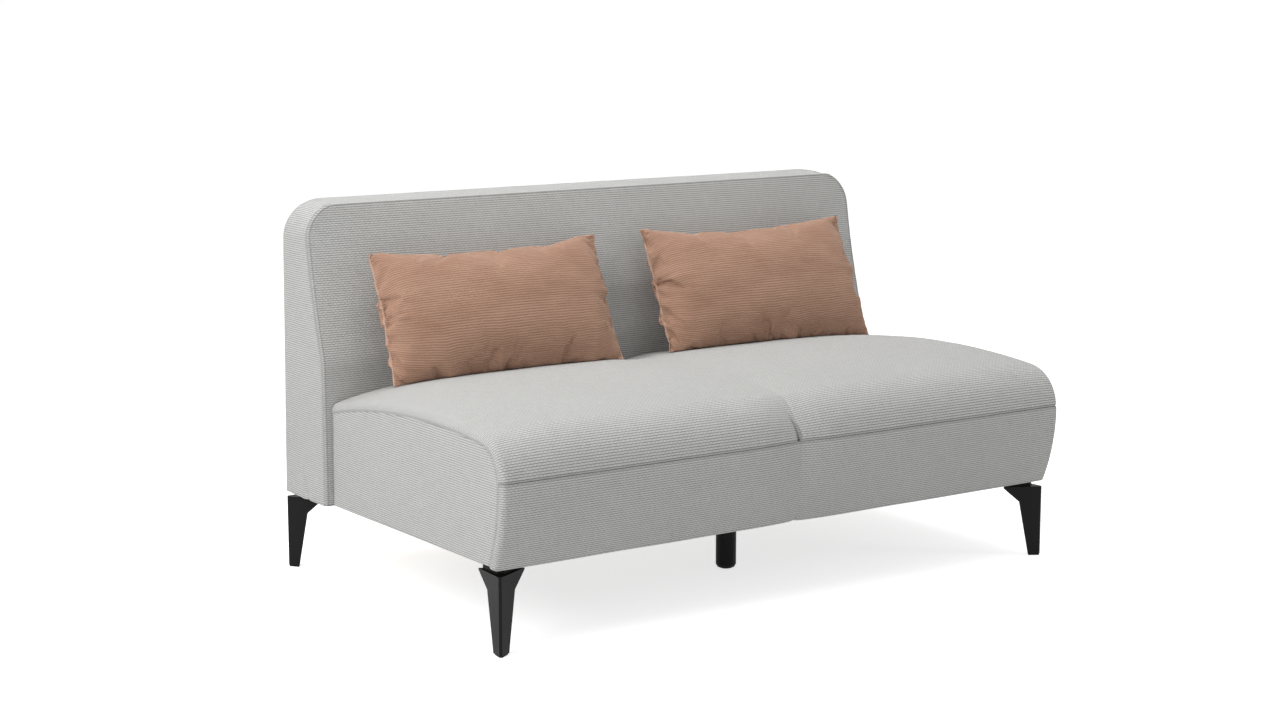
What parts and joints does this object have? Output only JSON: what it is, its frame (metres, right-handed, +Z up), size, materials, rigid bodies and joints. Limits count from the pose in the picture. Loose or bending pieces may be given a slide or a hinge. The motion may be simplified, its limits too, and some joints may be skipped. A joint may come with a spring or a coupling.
{
  "type": "armless sofa",
  "caption": "Armless upholstered sofa with a crowned, tucked seat, a raked back, folded steel plate legs at the corners, a round centre leg and loose lumbar pillows.",
  "frame": {"origin": "on the floor under the middle of the sofa's overall width and depth", "axes": "+X to the right as one faces the sofa, -Y to the front, +Z up"},
  "size_m": [1.44, 0.88, 0.795],
  "materials": {
    "grey_cloth": "light grey basket weave",
    "pillow_cloth": "dusty terracotta fine corduroy",
    "black_cloth": "thin black lining cloth",
    "webbing": "elastic webbing",
    "felt": "pressed felt",
    "foam": "polyurethane foam",
    "filling": "fibre filling",
    "timber": "planed softwood",
    "plywood": "birch plywood",
    "leg_paint": "satin black powder coat",
    "leg_plastic": "black plastic",
    "black_plastic": "black plastic",
    "zinc_steel": "zinc plated steel"
  },
  "bodies": {
    "sofa": {"seat_front_rail": "timber", "seat_rear_rail": "timber", "seat_side_rail_left": "timber", "seat_side_rail_right": "timber", "seat_centre_rail": "timber", "seat_corner_blocks": "timber", "centre_leg_block": "timber", "seat_straps_long": "webbing", "seat_straps_cross": "webbing", "seat_felt": "felt", "seat_foam": "foam", "seat_front_padding": "foam", "seat_side_padding_left": "foam", "seat_side_padding_right": "foam", "seat_side_cover_left": "grey_cloth", "seat_side_cover_right": "grey_cloth", "seat_front_cover": "grey_cloth", "seat_top_cover": "grey_cloth", "seat_rear_cover": "grey_cloth", "seat_dust_cover": "black_cloth", "back_side_board_left": "plywood", "back_side_board_right": "plywood", "back_top_rail": "timber", "back_middle_rail": "timber", "back_base_board": "plywood", "back_bottom_rail": "timber", "back_straps": "webbing", "back_foam": "foam", "back_top_padding": "foam", "back_side_padding_left": "foam", "back_side_padding_right": "foam", "back_front_cover": "grey_cloth", "back_boxing_cover": "grey_cloth", "back_rear_cover": "grey_cloth", "unit_bolts": "zinc_steel", "unit_nuts": "zinc_steel", "leg_front_left": "leg_paint", "leg_front_right": "leg_paint", "leg_rear_left": "leg_paint", "leg_rear_right": "leg_paint", "leg_glides": "black_plastic", "leg_spacers": "black_plastic", "leg_screws": "zinc_steel", "centre_leg": "leg_plastic", "centre_leg_stud": "zinc_steel"},
    "pillow_left": {"pillow_left_cover": "pillow_cloth", "pillow_left_filling": "filling"},
    "pillow_right": {"pillow_right_cover": "pillow_cloth", "pillow_right_filling": "filling"}
  },
  "joints": [
    {"name": "pillow_left_lift", "type": "slide", "parent": "sofa", "child": "pillow_left", "axis": [0, 0, 1], "range_m": [0, 0.35]},
    {"name": "pillow_right_lift", "type": "slide", "parent": "sofa", "child": "pillow_right", "axis": [0, 0, 1], "range_m": [0, 0.35]}
  ]
}
